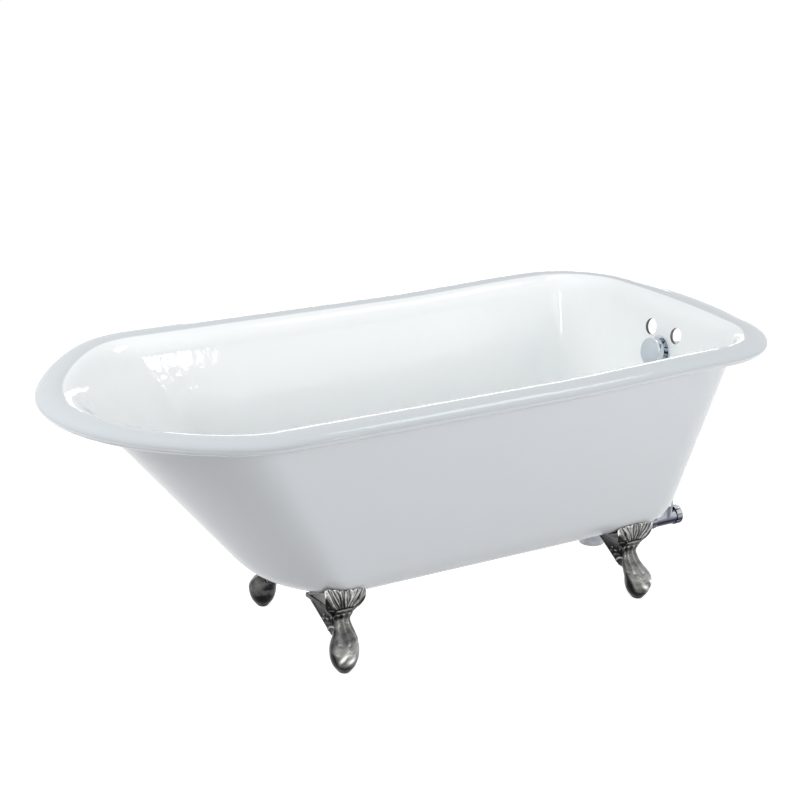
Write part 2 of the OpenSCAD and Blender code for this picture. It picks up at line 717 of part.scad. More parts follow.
module overflow_knob() {
    r = knob_d / 2;
    color(chrome) on_tap_wall(overflow_z) difference() {
        union() {
            rotate_extrude() polygon([
                [r - 3, knob_low + 1], [r - 0.6, knob_low + 1], [r, knob_low + 2], [r, knob_reach - 4],
                [r - 1, knob_reach - 2], [r - 3, knob_reach - 1], [r - 6, knob_reach - 1.6],
                [r * 0.5, knob_reach - 0.4], [0, knob_reach],
                [0, knob_reach - knob_face], [r - 3, knob_reach - knob_face - 1]
            ]);
            translate([0, 0, knob_low]) cylinder(r = knob_boss_r, h = knob_reach - knob_face - knob_low);
        }
        translate([0, 0, knob_low - eps])
            cylinder(d = spindle_d + 2 * fit, h = spindle_front - knob_low + seat + eps);
        translate([0, 0, screw_level]) rotate([90, 0, 0])
            cylinder(d = screw_d + 2 * fit, h = knob_boss_r + 2);
    }
}

module knob_spindle() {
    color(brass) on_tap_wall(overflow_z) translate([0, 0, spindle_back])
        cylinder(d = spindle_d, h = spindle_front - spindle_back);
}

module knob_grub_screw() {
    reach = knob_boss_r - spindle_d / 2;
    color(nickel) on_tap_wall(overflow_z) translate([0, -spindle_d / 2, screw_level]) rotate([90, 0, 0])
    difference() {
        translate([0, 0, 0.1]) cylinder(d = screw_d, h = reach);
        translate([0, 0, reach - 2.4]) cylinder(d = 2.6, h = 4, $fn = 6);
    }
}

module crank_arm() {
    color(brass) on_tap_wall(overflow_z) translate([0, 0, spindle_back + 1]) difference() {
        union() {
            cylinder(r = spindle_d / 2 + 3, h = crank_t);
            translate([0, -3.5, 0]) cube([crank_l, 7, crank_t]);
            translate([crank_l, 0, 0]) cylinder(r = 3.5, h = crank_t);
            translate([crank_l, 0, crank_t]) cylinder(r = 1.8, h = 5);
        }
        translate([0, 0, -eps]) cylinder(d = spindle_d + 2 * fit, h = crank_t + 2 * eps);
    }
}

// Drain: the flange sits on its gasket in the basin's floor and its tail screws into the shoe
flange_seat = basin - drain_seat_depth;
drain_gasket_t = 1.5;
flange_low = flange_seat + drain_gasket_t;
drain_flange_t = 3;
flange_high = flange_low + drain_flange_t;
tail_r = drain_tail_d / 2;
tail_bore = tail_r - 4;
seat_depth = 6;
seat_out = 4.5;
spider_z = under - 8;
spider_t = 5;

module drain_flange() {
    color(chrome) translate([drain_x, 0, 0]) difference() {
        union() {
            rotate_extrude() polygon([
                [tail_bore, tail_low], [tail_r, tail_low], [tail_r, flange_low],
                [drain_flange_d / 2, flange_low], [drain_flange_d / 2, flange_low + 1],
                [drain_flange_d / 2 - 4, flange_high], [tail_bore + seat_out, flange_high],
                [tail_bore, flange_high - seat_depth]
            ]);
            translate([0, 0, spider_z]) cylinder(r = stem_d / 2 + 3, h = spider_t);
            for (a = [0, 90, 180, 270]) rotate([0, 0, a]) translate([0, -1.75, spider_z])
                cube([tail_bore + 1, 3.5, spider_t]);
        }
        translate([0, 0, spider_z - eps]) cylinder(d = stem_d + 2 * fit, h = spider_t + 2 * eps);
    }
}

module drain_gasket() {
    color(rubber) translate([drain_x, 0, flange_seat])
        tube(drain_flange_d / 2 - 1, drain_hole_d / 2 + 0.5, drain_gasket_t);
}

// Plug: cap, seal and stem lift together on the pin that the cable pushes
cap_low = flange_high + seat;
seal_t = 2.8;
seal_low = cap_low - seal_t;
seal_r = tail_bore + seat_out * (1 - (flange_high - seal_low) / seat_depth) - seat;
boss_r = stem_d / 2 + 3.5;
stem_low = waste_z + 13;
stem_high = cap_low + 2;

module plug_cap() {
    color(chrome) translate([drain_x, 0, 0]) difference() {
        union() {
            rotate_extrude() polygon([
                [0, cap_low], [plug_d / 2 - 0.8, cap_low], [plug_d / 2, cap_low + 0.8],
                [plug_d / 2 - 0.4, cap_low + 2], [plug_d / 2 - 2.5, cap_low + 3],
                [plug_d / 4, cap_low + 4.4], [0, cap_low + 5]
            ]);
            translate([0, 0, seal_low]) cylinder(r = boss_r, h = seal_t + 1);
        }
        translate([0, 0, seal_low - eps])
            cylinder(d = stem_d + 2 * fit, h = stem_high - seal_low + seat + eps);
    }
}

module plug_seal() {
    color(rubber) translate([drain_x, 0, seal_low]) tube(seal_r, boss_r + fit, seal_t);
}

module plug_stem() {
    color(brass) translate([drain_x, 0, 0]) {
        translate([0, 0, stem_low]) cylinder(d = stem_d, h = stem_high - stem_low);
        translate([0, 0, seal_low - 2]) cylinder(r = boss_r + 2.5, h = 2);
    }
}

// Cable end: a pin in a guide on the shoe's floor, and the sheath from there to the overflow
shoe_floor = waste_z - socket_r + fitting_wall;
guide_top = waste_z + 8;
pin_r = 2.5;
guide_r = 5;
pin_low = guide_top - plug_lift - 7;
sheath_r = 2.5;
sheath_z = waste_z - bore_r + sheath_r + seat;
sheath_bend = 26;

module lift_guide() {
    color(brass) translate([drain_x, 0, shoe_floor]) difference() {
        union() {
            cylinder(r = guide_r, h = guide_top - shoe_floor);
            cylinder(d = drain_tail_d - 9, h = 1.5);
        }
        translate([0, 0, pin_low - shoe_floor - 1]) cylinder(r = pin_r + fit, h = guide_top);
    }
}

module lift_pin() {
    color(brass) translate([drain_x, 0, pin_low]) cylinder(r = pin_r, h = stem_low - pin_low);
}

module cable_sheath() {
    start = drain_x + guide_r + seat;
    turn = riser_x - sheath_bend;
    top = elbow_mouth + 18;
    color(rubber) union() {
        translate([start, 0, sheath_z]) rotate([0, 90, 0]) cylinder(r = sheath_r, h = turn - start, $fn = 24);
        translate([turn, 0, sheath_z + sheath_bend]) rotate([90, 0, 0]) rotate([0, 0, -90])
            rotate_extrude(angle = 90) translate([sheath_bend, 0]) circle(r = sheath_r, $fn = 24);
        translate([riser_x, 0, sheath_z + sheath_bend])
            cylinder(r = sheath_r, h = top - sheath_z - sheath_bend, $fn = 24);
    }
}

tub_shell();
foot_head_left();
foot_head_right();
foot_tap_left();
foot_tap_right();
leg_studs();
leg_washers();
leg_nuts();
drain_flange();
drain_gasket();
shoe_gasket();
drain_shoe();
lift_guide();
shoe_nut();
shoe_washer();
waste_tube();
tee_inlet_nut();
tee_inlet_washer();
waste_tee();
outlet_nut();
outlet_washer();
riser_bottom_nut();
riser_bottom_washer();
overflow_riser();
riser_top_nut();
riser_top_washer();
overflow_elbow();
overflow_gasket();
overflow_flange();
cable_sheath();
overflow_knob();
knob_spindle();
knob_grub_screw();
crank_arm();
plug_cap();
plug_seal();
plug_stem();
lift_pin();
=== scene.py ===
import json
import math

import bmesh
import bpy
import numpy as np
from mathutils import Matrix, Vector


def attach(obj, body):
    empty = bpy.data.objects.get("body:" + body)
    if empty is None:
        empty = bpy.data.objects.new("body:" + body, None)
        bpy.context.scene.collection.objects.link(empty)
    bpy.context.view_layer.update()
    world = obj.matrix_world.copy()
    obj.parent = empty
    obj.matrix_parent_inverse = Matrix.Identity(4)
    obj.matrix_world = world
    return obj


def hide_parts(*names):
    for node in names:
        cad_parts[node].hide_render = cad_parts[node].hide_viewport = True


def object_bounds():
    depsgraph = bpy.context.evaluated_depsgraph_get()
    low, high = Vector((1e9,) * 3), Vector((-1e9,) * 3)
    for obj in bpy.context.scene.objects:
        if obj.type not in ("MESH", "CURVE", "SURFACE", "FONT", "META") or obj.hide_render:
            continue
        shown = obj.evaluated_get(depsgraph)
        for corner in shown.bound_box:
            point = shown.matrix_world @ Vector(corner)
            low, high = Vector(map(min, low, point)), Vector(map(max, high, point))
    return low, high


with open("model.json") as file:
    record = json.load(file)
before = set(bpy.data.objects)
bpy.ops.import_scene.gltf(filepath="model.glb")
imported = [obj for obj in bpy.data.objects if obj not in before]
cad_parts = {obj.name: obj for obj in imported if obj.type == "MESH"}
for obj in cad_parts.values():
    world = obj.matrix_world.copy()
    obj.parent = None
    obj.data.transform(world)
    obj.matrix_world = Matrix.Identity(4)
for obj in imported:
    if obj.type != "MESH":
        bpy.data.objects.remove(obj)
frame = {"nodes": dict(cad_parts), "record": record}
cad_low, cad_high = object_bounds()

# Sizes of the casting in metres, the same values as the CAD model's
LENGTH = cad_high[0] - cad_low[0]
WIDTH = cad_high[1] - cad_low[1]
HEIGHT = 0.598
RISE_TAP = 0.0097
RISE_FROM = 0.147
RISE_TO = 0.543
FALL_HEAD = 0.0094
FALL_FROM = 0.521
ROLL_W = 0.074
ROLL_H = 0.032
ROLL_T = 0.007
LIP_ANGLE = 50
HEAD_RUN = 0.311
HEAD_PINCH = 0.057
TAP_CORNER = 0.208
TAP_BOW = 0.018
TAP_TAPER = 0.983
WALL = 0.0075
WALL_START = 0.008
FLOOR_T = 0.007
FLOOR_FALL = 0.010
FLOOR_INSET = 0.002
UNDER = 0.136
SIDE_INSET = 0.088
TAP_INSET = 0.083
BOTTOM_W = 0.326
BOTTOM_HEAD_IN = 0.436
BOTTOM_TAP_IN = 0.150
BOTTOM_HEAD_RUN = 0.130
BOTTOM_CORNER = 0.085
FILLET_RUN = 0.068
FILLET_RISE = 0.070

# Heights and slopes that follow from them
CREST = HEIGHT - RISE_TAP
ROLL_MID = CREST - ROLL_H / 2
WALL_TOP = CREST - ROLL_H
BASIN = UNDER + FLOOR_T
SIDE_SLOPE = (WIDTH / 2 - SIDE_INSET - BOTTOM_W / 2) / (WALL_TOP - UNDER)
HEAD_SLOPE = (BOTTOM_HEAD_IN - SIDE_INSET) / (WALL_TOP - UNDER)
TAP_SLOPE = (BOTTOM_TAP_IN - TAP_INSET) / (WALL_TOP + RISE_TAP - UNDER)
TAP_LEAN = math.atan(TAP_SLOPE)
INWARD = Vector((-math.cos(TAP_LEAN), 0, math.sin(TAP_LEAN)))

# Holes, and how far the shapes that cut them run past the wall
FAUCET_HOLE_R = 0.018
FAUCET_SPACING = 0.0857
FAUCET_Z = HEIGHT - 0.068
OVERFLOW_HOLE_R = 0.0235
OVERFLOW_Z = HEIGHT - 0.114
DRAIN_X = LENGTH / 2 - 0.262
DRAIN_HOLE_R = 0.027
DRAIN_SEAT_R = 0.038
DRAIN_SEAT_DEPTH = 0.0004
HOLE_SIDES = 96
CUT_PAST = 0.01
CUT_HALF = 0.02

# Angles in degrees over which an edge is sharp
CASTING_SHARP = 40
FOOT_SHARP = 55
PLATED_SHARP = 30
CAD_SHARP = 35


# Small helpers
def lerp(a, b, t):
    return a * (1 - t) + b * t


def bend(a, control, b, t):
    return a * (1 - t) ** 2 + control * (2 * t * (1 - t)) + b * t ** 2


def ease(t):
    t = np.clip(t, 0, 1)
    return t * t * (3 - 2 * t)


def hump(t, width):
    return np.exp(-(t / width) ** 2)


def between(z, low, high, soft):
    return ease((z - low) / soft) * ease((high - z) / soft)


def add_object(name, data):
    made = bpy.data.objects.new(name, data)
    bpy.context.scene.collection.objects.link(made)
    return made


def mesh_of(bm, name, materials):
    mesh = bpy.data.meshes.new(name)
    bm.to_mesh(mesh)
    bm.free()
    for material in materials:
        mesh.materials.append(material)
    return mesh


def smooth(mesh, sharp):
    """Smooth shading, but for edges sharper than an angle."""
    mesh.shade_smooth()
    mesh.set_sharp_from_angle(angle=math.radians(sharp))


def finished(bm, name, body, materials, sharp):
    """A bmesh becomes a piece that rides on a body."""
    mesh = mesh_of(bm, name, materials)
    smooth(mesh, sharp)
    piece = add_object(name, mesh)
    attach(piece, body)
    return piece


def grid_surface(bm, points, closed, layer, values):
    """A grid whose vertices are moved onto an array of points, rows by columns; closed joins the last
    column to the first. Each vertex keeps the number of its row, and its value in a named layer."""
    rows, columns = points.shape[:2]
    row_of = bm.verts.layers.int.get("row") or bm.verts.layers.int.new("row")
    value_of = bm.verts.layers.float.get(layer) or bm.verts.layers.float.new(layer)
    values = np.broadcast_to(values, points.shape[:2])
    spans = columns if closed else columns - 1
    made = bmesh.ops.create_grid(bm, x_segments=spans, y_segments=rows - 1, size=1)["verts"]
    for v in made:
        i = round((v.co.x + 1) / 2 * spans) % columns
        j = round((v.co.y + 1) / 2 * (rows - 1))
        v.co = points[j, i]
        v[row_of] = j
        v[value_of] = values[j, i]
    if closed:
        bmesh.ops.remove_doubles(bm, verts=made, dist=1e-7)
    return made


def close_ends(bm):
    bmesh.ops.holes_fill(bm, edges=[e for e in bm.edges if e.is_boundary], sides=0)


def add_drum(bm, radius, start, end, direction, place):
    """A closed cylinder between two distances along a direction from a place."""
    made = bmesh.ops.create_cone(
        bm, cap_ends=True, segments=HOLE_SIDES, radius1=radius, radius2=radius, depth=end - start)["verts"]
    turn = Vector((0, 0, 1)).rotation_difference(Vector(direction)).to_matrix().to_4x4()
    along = turn @ Matrix.Translation((0, 0, (start + end) / 2))
    bmesh.ops.transform(bm, matrix=along, verts=made)
    bmesh.ops.translate(bm, verts=made, vec=place)


def subtract(piece, cutter_bm, slot):
    """Cuts the bmesh out of the piece, in its mesh; the cut faces take the material in one of its slots."""
    for face in cutter_bm.faces:
        face.material_index = slot
    cutter = add_object("cutter", mesh_of(cutter_bm, "cutter", piece.data.materials))
    cut = piece.modifiers.new("cut", "BOOLEAN")
    cut.operation = "DIFFERENCE"
    cut.solver = "EXACT"
    cut.object = cutter
    bpy.context.view_layer.update()
    evaluated = piece.evaluated_get(bpy.context.evaluated_depsgraph_get())
    result = bpy.data.meshes.new_from_object(evaluated)
    old = piece.data
    piece.modifiers.clear()
    piece.data = result
    bpy.data.meshes.remove(old)
    bpy.data.objects.remove(cutter)


# Helpers for materials
def new_material(name):
    material = bpy.data.materials.new(name)
    material.use_nodes = True
    nodes = material.node_tree.nodes
    return material, nodes, material.node_tree.links, nodes["Principled BSDF"]


def feed(links, value, socket):
    """A socket takes another node's output, a colour or a number."""
    if isinstance(value, bpy.types.NodeSocket):
        links.new(value, socket)
    else:
        socket.default_value = (*value, 1) if isinstance(value, tuple) else value


def calculate(nodes, links, operation, first, second):
    node = nodes.new("ShaderNodeMath")
    node.operation = operation
    feed(links, first, node.inputs[0])
    feed(links, second, node.inputs[1])
    return node.outputs["Value"]


def two_colours(nodes, links, factor, low, high):
    mix = nodes.new("ShaderNodeMix")
    mix.data_type = "RGBA"
    feed(links, low, mix.inputs["A"])
    feed(links, high, mix.inputs["B"])
    feed(links, factor, mix.inputs["Factor"])
    return mix.outputs["Result"]


def rescale(nodes, links, source, start, end, low, high, curve="LINEAR"):
    """A value between start and end becomes one between low and high."""
    node = nodes.new("ShaderNodeMapRange")
    node.interpolation_type = curve
    node.inputs["From Min"].default_value = start
    node.inputs["From Max"].default_value = end
    node.inputs["To Min"].default_value = low
    node.inputs["To Max"].default_value = high
    links.new(source, node.inputs["Value"])
    return node.outputs["Result"]


def add_noise(nodes, links, scale, detail, roughness=0.5):
    place = nodes.new("ShaderNodeTexCoord")
    noise = nodes.new("ShaderNodeTexNoise")
    noise.inputs["Scale"].default_value = scale
    noise.inputs["Detail"].default_value = detail
    noise.inputs["Roughness"].default_value = roughness
    links.new(place.outputs["Object"], noise.inputs["Vector"])
    return noise.outputs["Fac"]


def spread(nodes, links, noise, low, high):
    """Most of a noise's values lie from 0.3 to 0.7; they are spread between two numbers."""
    return rescale(nodes, links, noise, 0.3, 0.7, low, high)


def facing_up(nodes, links, low, high, start, end):
    """A value from low on faces that look down to high on faces that look up, for painted shade and painted
    reflection on the undersides.
    Start and end are the upward parts of a face's direction between which it changes."""
    place = nodes.new("ShaderNodeTexCoord")
    parts = nodes.new("ShaderNodeSeparateXYZ")
    links.new(place.outputs["Normal"], parts.inputs["Vector"])
    return rescale(nodes, links, parts.outputs["Z"], start, end, low, high, "SMOOTHSTEP")


def from_attribute(nodes, name):
    node = nodes.new("ShaderNodeAttribute")
    node.attribute_name = name
    return node.outputs["Fac"]


def add_bump(nodes, links, height, shader, strength, distance):
    bump = nodes.new("ShaderNodeBump")
    bump.inputs["Strength"].default_value = strength
    bump.inputs["Distance"].default_value = distance
    links.new(height, bump.inputs["Height"])
    links.new(bump.outputs["Normal"], shader.inputs["Normal"])


# Materials
def enamel_material():
    """White vitreous enamel: glassy, with the slight waviness of a cast surface below it. It is greyer over
    the rim, as the photograph shows it: that grey is painted shade on the same enamel as inside."""
    # The rim's grey is painted shade on the same enamel as inside
    painted_rim_shade = (0.63, 0.665, 0.69)
    material, nodes, links, shader = new_material("enamel")
    tone = add_noise(nodes, links, 3.0, 3)
    inside = two_colours(nodes, links, tone, (0.915, 0.935, 0.935), (0.935, 0.95, 0.95))
    colour = two_colours(nodes, links, from_attribute(nodes, "rim"), inside, painted_rim_shade)
    links.new(colour, shader.inputs["Base Color"])
    shader.inputs["Roughness"].default_value = 0.06
    shader.inputs["IOR"].default_value = 1.52
    wave = add_noise(nodes, links, 34.0, 2, 0.4)
    add_bump(nodes, links, wave, shader, 0.3, 0.002)
    return material


def outer_paint_material():
    """White gloss paint on the outside of the casting."""
    material, nodes, links, shader = new_material("outer_paint")
    tone = add_noise(nodes, links, 2.2, 3)
    links.new(two_colours(nodes, links, tone, (0.80, 0.82, 0.85), (0.83, 0.85, 0.875)),
              shader.inputs["Base Color"])
    shader.inputs["Roughness"].default_value = 0.22
    shader.inputs["IOR"].default_value = 1.48
    wave = add_noise(nodes, links, 60.0, 3)
    add_bump(nodes, links, wave, shader, 0.25, 0.0008)
    return material


def plated_iron_material():
    """Nickel plate over cast iron: bright on the ridges and dark in the hollows, partly as tarnish in the
    hollows and partly as painted highlights and painted shade; faces that look down are painted darker as
    painted shade, and cloudy noise in the colour is painted reflection.
    """
    tones = ((0.12, (0.010, 0.010, 0.011)), (0.42, (0.14, 0.14, 0.136)),
             (0.62, (0.36, 0.36, 0.35)), (0.92, (0.80, 0.80, 0.78)))
    material, nodes, links, shader = new_material("plated_iron")
    cloud = add_noise(nodes, links, 55.0, 4, 0.55)
    grime = add_noise(nodes, links, 160.0, 4, 0.6)
    level = from_attribute(nodes, "relief")
    # Cloud noise in the level: painted reflections
    level = calculate(nodes, links, "ADD", level, spread(nodes, links, cloud, -0.10, 0.10))
    # Faces that look down are painted darker: painted shade
    level = calculate(nodes, links, "ADD", level, facing_up(nodes, links, -0.34, 0.0, -0.6, 0.2))
    # The ramp turns the level into colour: dark for tarnished hollows and painted shade, bright for painted
    # highlights
    tarnish_and_painted_light = nodes.new("ShaderNodeValToRGB")
    stops = tarnish_and_painted_light.color_ramp.elements
    stops[0].position, stops[1].position = tones[0][0], tones[-1][0]
    for position, _ in tones[1:-1]:
        stops.new(position)
    for stop, (_, colour) in zip(stops, tones):
        stop.color = (*colour, 1)
    links.new(level, tarnish_and_painted_light.inputs["Fac"])
    links.new(tarnish_and_painted_light.outputs["Color"], shader.inputs["Base Color"])
    shader.inputs["Metallic"].default_value = 1.0
    links.new(spread(nodes, links, grime, 0.16, 0.30), shader.inputs["Roughness"])
    add_bump(nodes, links, grime, shader, 0.2, 0.0005)
    return material


def chrome_material(name, colour, below, start, end):
    """Polished chrome plate with faint wiping marks; faces that look down are painted a darker colour, as
    painted shade and painted reflection.
    """
    material, nodes, links, shader = new_material(name)
    marks = add_noise(nodes, links, 45.0, 5, 0.6)
    upward = facing_up(nodes, links, 0.0, 1.0, start, end)
    links.new(two_colours(nodes, links, upward, below, colour), shader.inputs["Base Color"])
    shader.inputs["Metallic"].default_value = 1.0
    links.new(spread(nodes, links, marks, 0.05, 0.13), shader.inputs["Roughness"])
    return material


def grained_material(name, scale, dark, light, metallic, roughness, bumpy=False):
    """Fine grain between two tones. Roughness is one number, or two that it runs between; a bumpy finish
    has the grain in its surface too."""
    material, nodes, links, shader = new_material(name)
    grain = add_noise(nodes, links, scale, 4)
    links.new(two_colours(nodes, links, grain, dark, light), shader.inputs["Base Color"])
    shader.inputs["Metallic"].default_value = metallic
    if isinstance(roughness, tuple):
        roughness = spread(nodes, links, grain, *roughness)
    feed(links, roughness, shader.inputs["Roughness"])
    if bumpy:
        add_bump(nodes, links, grain, shader, 0.3, 0.0004)
    return material


def bare_iron_material():
    """Bare cast iron where the holes are cut through the wall."""
    return grained_material(
        "bare_iron", 260.0, (0.10, 0.10, 0.105), (0.22, 0.22, 0.225), 0.6, 0.55, bumpy=True)


def steel_material():
    """Zinc plated steel."""
    return grained_material("steel", 160.0, (0.50, 0.50, 0.50), (0.64, 0.64, 0.65), 1.0, (0.28, 0.42))


def brass_material():
    """Plain turned brass."""
    return grained_material("brass", 140.0, (0.56, 0.42, 0.19), (0.70, 0.55, 0.28), 1.0, (0.22, 0.38))


def rubber_material():
    """Matt black rubber."""
    return grained_material(
        "rubber", 220.0, (0.016, 0.016, 0.018), (0.035, 0.035, 0.038), 0.0, 0.65, bumpy=True)


enamel = enamel_material()
outer_paint = outer_paint_material()
plated_iron = plated_iron_material()
bare_iron = bare_iron_material()
finishes = {
    "enamel": enamel,
    "plated_iron": plated_iron,
    # The chromes' second colour is painted on faces that look down: painted shade on the knob and its parts,
    # a dark painted reflection on the pipes
    "chrome": chrome_material("chrome", (0.64, 0.69, 0.73), (0.30, 0.32, 0.35), -0.9, -0.2),
    "pipe_chrome": chrome_material("pipe_chrome", (0.57, 0.585, 0.63), (0.016, 0.017, 0.040), -0.2, 0.5),
    "steel": steel_material(),
    "brass": brass_material(),
    "rubber": rubber_material(),
}

# Steps along each stretch of one of the shell's rings
END_STEPS = 12
CORNER_STEPS = 26
SIDE_STEPS = 26
HEAD_STEPS = 60

# Rings along each stretch from the middle of the underside to the middle of the basin, as a number or as
# shares of the stretch; the bend from the crest into the wall takes the rim's greyer painted shade up to the
# last rim share
UNDER_SHARES = (0.1, 0.4, 0.7)
OUT_FILLET_RINGS = 15
WALL_SHARES = np.arange(1, 12) / 12
OUT_BEND_RINGS = 12
LIP_UNDER_RINGS = 11
LIP_RINGS = 9
CREST_RINGS = 17
RIM_SHARES = (0.06, 0.12, 0.18, 0.22)
IN_BEND_RINGS = 15
IN_FILLET_RINGS = 17
BASIN_SHARES = (0.2, 0.4, 0.6, 0.8, 0.95)


def outline(head_x, tap_x, half_width, run, corner, bow=0.0, taper=1.0):
    """One ring in plan, from the middle of the tap end round to the tip of the head end and back. Run is the
    length of the head's curve, and corner the radius of the tap end's corners."""
    tap_half = half_width * taper
    corner_x = tap_x - bow - corner
    head_start = head_x + run
    half = []
    for s in np.arange(END_STEPS) / END_STEPS:
        half.append((tap_x - bow * s * s, (tap_half - corner) * s))
    for a in np.linspace(0, math.pi / 2, CORNER_STEPS + 1):
        half.append((corner_x + corner * math.cos(a), tap_half - corner + corner * math.sin(a)))
    for s in np.arange(1, SIDE_STEPS) / SIDE_STEPS:
        half.append((lerp(corner_x, head_start, s), lerp(tap_half, half_width, s)))
    for a in np.linspace(0, math.pi / 2, HEAD_STEPS + 1):
        pinch = 1 - HEAD_PINCH * math.sin(2 * a) ** 2
        half.append((head_start - run * math.sin(a) * pinch, half_width * math.cos(a) * pinch))
    other = [(x, -y) for x, y in half[-2:0:-1]]
    return np.array(half + other)


def rim_outline(inset):
    return outline(-LENGTH / 2 + inset, LENGTH / 2 - inset, WIDTH / 2 - inset,
                   HEAD_RUN - inset, TAP_CORNER - inset, TAP_BOW, TAP_TAPER)


def wall_outline(inset):
    """The top of the wall, below the roll."""
    return outline(-LENGTH / 2 + SIDE_INSET + inset, LENGTH / 2 - TAP_INSET - inset,
                   WIDTH / 2 - SIDE_INSET - inset, HEAD_RUN - SIDE_INSET - inset,
                   TAP_CORNER - SIDE_INSET - inset)


def floor_outline(inset):
    """The flat of the floor, inside the rounding that leads up to the wall."""
    return outline(-LENGTH / 2 + BOTTOM_HEAD_IN + FILLET_RUN + inset,
                   LENGTH / 2 - BOTTOM_TAP_IN - FILLET_RUN - inset,
                   BOTTOM_W / 2 - FILLET_RUN - inset,
                   BOTTOM_HEAD_RUN - FILLET_RUN / 2 - inset,
                   BOTTOM_CORNER - FILLET_RUN * 0.4 - inset)


def crest_rise(x):
    """How far the rim is raised towards the tap end and lowered round the head end."""
    return (RISE_TAP * ease((x - RISE_FROM) / (RISE_TO - RISE_FROM))
            - FALL_HEAD * ease((-x - FALL_FROM) / (LENGTH / 2 - FALL_FROM)))


RISE = crest_rise(rim_outline(0)[:, 0])


def ring(plan, z, lift=1):
    return np.column_stack([plan, z + lift * RISE])


def roll_ring(angle, half_w, half_h):
    angle = math.radians(angle)
    return ring(rim_outline(ROLL_W / 2 - half_w * math.cos(angle)), ROLL_MID + half_h * math.sin(angle))


def outside_rings():
    """Rings from the middle of the underside up the outside and round the roll's lip to its edge."""
    middle = np.array([DRAIN_X, 0, UNDER])
    floor = ring(floor_outline(0), UNDER, 0)
    bottom = ring(outline(-LENGTH / 2 + BOTTOM_HEAD_IN, LENGTH / 2 - BOTTOM_TAP_IN, BOTTOM_W / 2,
                          BOTTOM_HEAD_RUN, BOTTOM_CORNER), UNDER, 0)
    top = ring(wall_outline(0), WALL_TOP)
    roll_under = ring(rim_outline(ROLL_W / 2), CREST - ROLL_T)

    def wall(drop):
        return lerp(top, bottom, drop / (WALL_TOP - UNDER))

    fillet_top = wall(WALL_TOP - UNDER - FILLET_RISE)
    start = wall(WALL_START)
    corner = wall(-(CREST - ROLL_T - WALL_TOP))
    rings = [lerp(middle, floor, t) for t in UNDER_SHARES]
    rings += [bend(fillet_top, bottom, floor, t) for t in np.linspace(1, 0, OUT_FILLET_RINGS)]
    rings += [lerp(fillet_top, start, t) for t in WALL_SHARES]
    rings += [bend(start, corner, roll_under, t) for t in np.linspace(0, 1, OUT_BEND_RINGS)]
    rings += [roll_ring(a, ROLL_W / 2 - ROLL_T, ROLL_H / 2 - ROLL_T)
              for a in np.linspace(90, -LIP_ANGLE, LIP_UNDER_RINGS)[1:]]
    rings += [roll_ring(a, ROLL_W / 2, ROLL_H / 2) for a in np.linspace(-LIP_ANGLE, 0, LIP_RINGS)]
    return rings


def rim_and_inside_rings():
    """Rings over the roll, and from there down inside to the middle of the basin's floor."""
    middle = np.array([DRAIN_X, 0, BASIN])
    plan = floor_outline(FLOOR_INSET)
    from_drain = np.hypot(plan[:, 0] - DRAIN_X, plan[:, 1])
    floor = np.column_stack([plan, BASIN + FLOOR_FALL * from_drain])
    bottom = ring(outline(-LENGTH / 2 + BOTTOM_HEAD_IN + WALL - FLOOR_T * HEAD_SLOPE,
                          LENGTH / 2 - BOTTOM_TAP_IN - WALL + FLOOR_T * TAP_SLOPE,
                          BOTTOM_W / 2 - WALL + FLOOR_T * SIDE_SLOPE,
                          BOTTOM_HEAD_RUN - WALL / 2, BOTTOM_CORNER - WALL / 2), BASIN, 0)
    top = ring(wall_outline(WALL), WALL_TOP)
    roll_crest = ring(rim_outline(ROLL_W / 2), CREST)

    def wall(drop):
        return lerp(top, bottom, drop / (WALL_TOP - BASIN))

    corner = wall(-(CREST - WALL_TOP))
    start = wall(WALL_START)
    fillet_top = wall(WALL_TOP - BASIN - FILLET_RISE)
    rim = [roll_ring(a, ROLL_W / 2, ROLL_H / 2) for a in np.linspace(0, 90, CREST_RINGS)[1:]]
    rim += [bend(roll_crest, corner, start, t) for t in RIM_SHARES]
    inside = [bend(roll_crest, corner, start, t)
              for t in np.linspace(RIM_SHARES[-1], 1, IN_BEND_RINGS)[1:]]
    inside += [lerp(start, fillet_top, t) for t in WALL_SHARES]
    inside += [bend(fillet_top, bottom, floor, t) for t in np.linspace(0, 1, IN_FILLET_RINGS)]
    inside += [lerp(floor, middle, t) for t in BASIN_SHARES]
    return rim, inside


def tap_wall_point(z, y=0.0):
    """A point on the inner face of the tap end wall."""
    return Vector((LENGTH / 2 - BOTTOM_TAP_IN + (z - UNDER) * TAP_SLOPE - WALL, y, z))


def cut_holes(shell, iron_slot, enamel_slot):
    """The faucet, overflow and drain holes show bare iron; the seat of the drain flange has enamel."""
    up = (0, 0, 1)
    drain = (DRAIN_X, 0, 0)
    cutter = bmesh.new()
    for side in (-1, 1):
        place = tap_wall_point(FAUCET_Z, side * FAUCET_SPACING / 2)
        add_drum(cutter, FAUCET_HOLE_R, -CUT_HALF, CUT_HALF, INWARD, place)
    add_drum(cutter, OVERFLOW_HOLE_R, -CUT_HALF, CUT_HALF, INWARD, tap_wall_point(OVERFLOW_Z))
    add_drum(cutter, DRAIN_HOLE_R, UNDER - CUT_PAST, BASIN + CUT_PAST, up, drain)
    subtract(shell, cutter, iron_slot)
    seat = bmesh.new()
    add_drum(seat, DRAIN_SEAT_R, BASIN - DRAIN_SEAT_DEPTH, BASIN + CUT_PAST, up, drain)
    subtract(shell, seat, enamel_slot)


